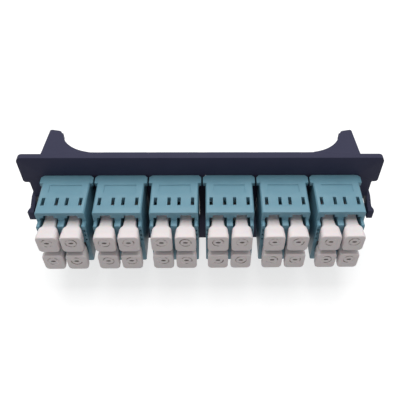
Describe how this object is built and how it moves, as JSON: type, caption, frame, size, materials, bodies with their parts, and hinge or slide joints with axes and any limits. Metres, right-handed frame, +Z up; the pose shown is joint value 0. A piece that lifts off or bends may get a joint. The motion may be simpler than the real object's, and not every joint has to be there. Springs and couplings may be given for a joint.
{
  "type": "fibre adapter plate",
  "caption": "Snap-in panel plate holding a row of stacked duplex fibre adapters, with square dust caps in the front ports and sprung latch arms at both ends.",
  "frame": {"origin": "the middle of the plate on its seating plane, the back of the plate", "axes": "+X along the row of adapters, +Y to the rear and into the panel, +Z up; the capped ports face -Y"},
  "size_m": [0.1002, 0.0309, 0.0352],
  "materials": {
    "plate": "fine matt moulding",
    "housing": "satin moulding",
    "clip": "rolled spring strip",
    "sleeve": "polished ceramic",
    "cap": "satin moulding"
  },
  "bodies": {
    "plate_body": {"plate": "plate", "front_housing_1": "housing", "rear_housing_1": "housing", "holder_1": "housing", "clip_1": "clip", "sleeves_1": "sleeve", "front_housing_2": "housing", "rear_housing_2": "housing", "holder_2": "housing", "clip_2": "clip", "sleeves_2": "sleeve", "front_housing_3": "housing", "rear_housing_3": "housing", "holder_3": "housing", "clip_3": "clip", "sleeves_3": "sleeve", "front_housing_4": "housing", "rear_housing_4": "housing", "holder_4": "housing", "clip_4": "clip", "sleeves_4": "sleeve", "front_housing_5": "housing", "rear_housing_5": "housing", "holder_5": "housing", "clip_5": "clip", "sleeves_5": "sleeve", "front_housing_6": "housing", "rear_housing_6": "housing", "holder_6": "housing", "clip_6": "clip", "sleeves_6": "sleeve"},
    "cap_1_1": {"front_cap_1_1": "cap"},
    "cap_1_2": {"front_cap_1_2": "cap"},
    "cap_1_3": {"front_cap_1_3": "cap"},
    "cap_1_4": {"front_cap_1_4": "cap"},
    "cap_2_1": {"front_cap_2_1": "cap"},
    "cap_2_2": {"front_cap_2_2": "cap"},
    "cap_2_3": {"front_cap_2_3": "cap"},
    "cap_2_4": {"front_cap_2_4": "cap"},
    "cap_3_1": {"front_cap_3_1": "cap"},
    "cap_3_2": {"front_cap_3_2": "cap"},
    "cap_3_3": {"front_cap_3_3": "cap"},
    "cap_3_4": {"front_cap_3_4": "cap"},
    "cap_4_1": {"front_cap_4_1": "cap"},
    "cap_4_2": {"front_cap_4_2": "cap"},
    "cap_4_3": {"front_cap_4_3": "cap"},
    "cap_4_4": {"front_cap_4_4": "cap"},
    "cap_5_1": {"front_cap_5_1": "cap"},
    "cap_5_2": {"front_cap_5_2": "cap"},
    "cap_5_3": {"front_cap_5_3": "cap"},
    "cap_5_4": {"front_cap_5_4": "cap"},
    "cap_6_1": {"front_cap_6_1": "cap"},
    "cap_6_2": {"front_cap_6_2": "cap"},
    "cap_6_3": {"front_cap_6_3": "cap"},
    "cap_6_4": {"front_cap_6_4": "cap"}
  },
  "joints": [
    {"name": "cap_1_1_pull", "type": "slide", "parent": "plate_body", "child": "cap_1_1", "axis": [0, -1, 0], "range_m": [0, 0.012]},
    {"name": "cap_1_2_pull", "type": "slide", "parent": "plate_body", "child": "cap_1_2", "axis": [0, -1, 0], "range_m": [0, 0.012]},
    {"name": "cap_1_3_pull", "type": "slide", "parent": "plate_body", "child": "cap_1_3", "axis": [0, -1, 0], "range_m": [0, 0.012]},
    {"name": "cap_1_4_pull", "type": "slide", "parent": "plate_body", "child": "cap_1_4", "axis": [0, -1, 0], "range_m": [0, 0.012]},
    {"name": "cap_2_1_pull", "type": "slide", "parent": "plate_body", "child": "cap_2_1", "axis": [0, -1, 0], "range_m": [0, 0.012]},
    {"name": "cap_2_2_pull", "type": "slide", "parent": "plate_body", "child": "cap_2_2", "axis": [0, -1, 0], "range_m": [0, 0.012]},
    {"name": "cap_2_3_pull", "type": "slide", "parent": "plate_body", "child": "cap_2_3", "axis": [0, -1, 0], "range_m": [0, 0.012]},
    {"name": "cap_2_4_pull", "type": "slide", "parent": "plate_body", "child": "cap_2_4", "axis": [0, -1, 0], "range_m": [0, 0.012]},
    {"name": "cap_3_1_pull", "type": "slide", "parent": "plate_body", "child": "cap_3_1", "axis": [0, -1, 0], "range_m": [0, 0.012]},
    {"name": "cap_3_2_pull", "type": "slide", "parent": "plate_body", "child": "cap_3_2", "axis": [0, -1, 0], "range_m": [0, 0.012]},
    {"name": "cap_3_3_pull", "type": "slide", "parent": "plate_body", "child": "cap_3_3", "axis": [0, -1, 0], "range_m": [0, 0.012]},
    {"name": "cap_3_4_pull", "type": "slide", "parent": "plate_body", "child": "cap_3_4", "axis": [0, -1, 0], "range_m": [0, 0.012]},
    {"name": "cap_4_1_pull", "type": "slide", "parent": "plate_body", "child": "cap_4_1", "axis": [0, -1, 0], "range_m": [0, 0.012]},
    {"name": "cap_4_2_pull", "type": "slide", "parent": "plate_body", "child": "cap_4_2", "axis": [0, -1, 0], "range_m": [0, 0.012]},
    {"name": "cap_4_3_pull", "type": "slide", "parent": "plate_body", "child": "cap_4_3", "axis": [0, -1, 0], "range_m": [0, 0.012]},
    {"name": "cap_4_4_pull", "type": "slide", "parent": "plate_body", "child": "cap_4_4", "axis": [0, -1, 0], "range_m": [0, 0.012]},
    {"name": "cap_5_1_pull", "type": "slide", "parent": "plate_body", "child": "cap_5_1", "axis": [0, -1, 0], "range_m": [0, 0.012]},
    {"name": "cap_5_2_pull", "type": "slide", "parent": "plate_body", "child": "cap_5_2", "axis": [0, -1, 0], "range_m": [0, 0.012]},
    {"name": "cap_5_3_pull", "type": "slide", "parent": "plate_body", "child": "cap_5_3", "axis": [0, -1, 0], "range_m": [0, 0.012]},
    {"name": "cap_5_4_pull", "type": "slide", "parent": "plate_body", "child": "cap_5_4", "axis": [0, -1, 0], "range_m": [0, 0.012]},
    {"name": "cap_6_1_pull", "type": "slide", "parent": "plate_body", "child": "cap_6_1", "axis": [0, -1, 0], "range_m": [0, 0.012]},
    {"name": "cap_6_2_pull", "type": "slide", "parent": "plate_body", "child": "cap_6_2", "axis": [0, -1, 0], "range_m": [0, 0.012]},
    {"name": "cap_6_3_pull", "type": "slide", "parent": "plate_body", "child": "cap_6_3", "axis": [0, -1, 0], "range_m": [0, 0.012]},
    {"name": "cap_6_4_pull", "type": "slide", "parent": "plate_body", "child": "cap_6_4", "axis": [0, -1, 0], "range_m": [0, 0.012]}
  ]
}
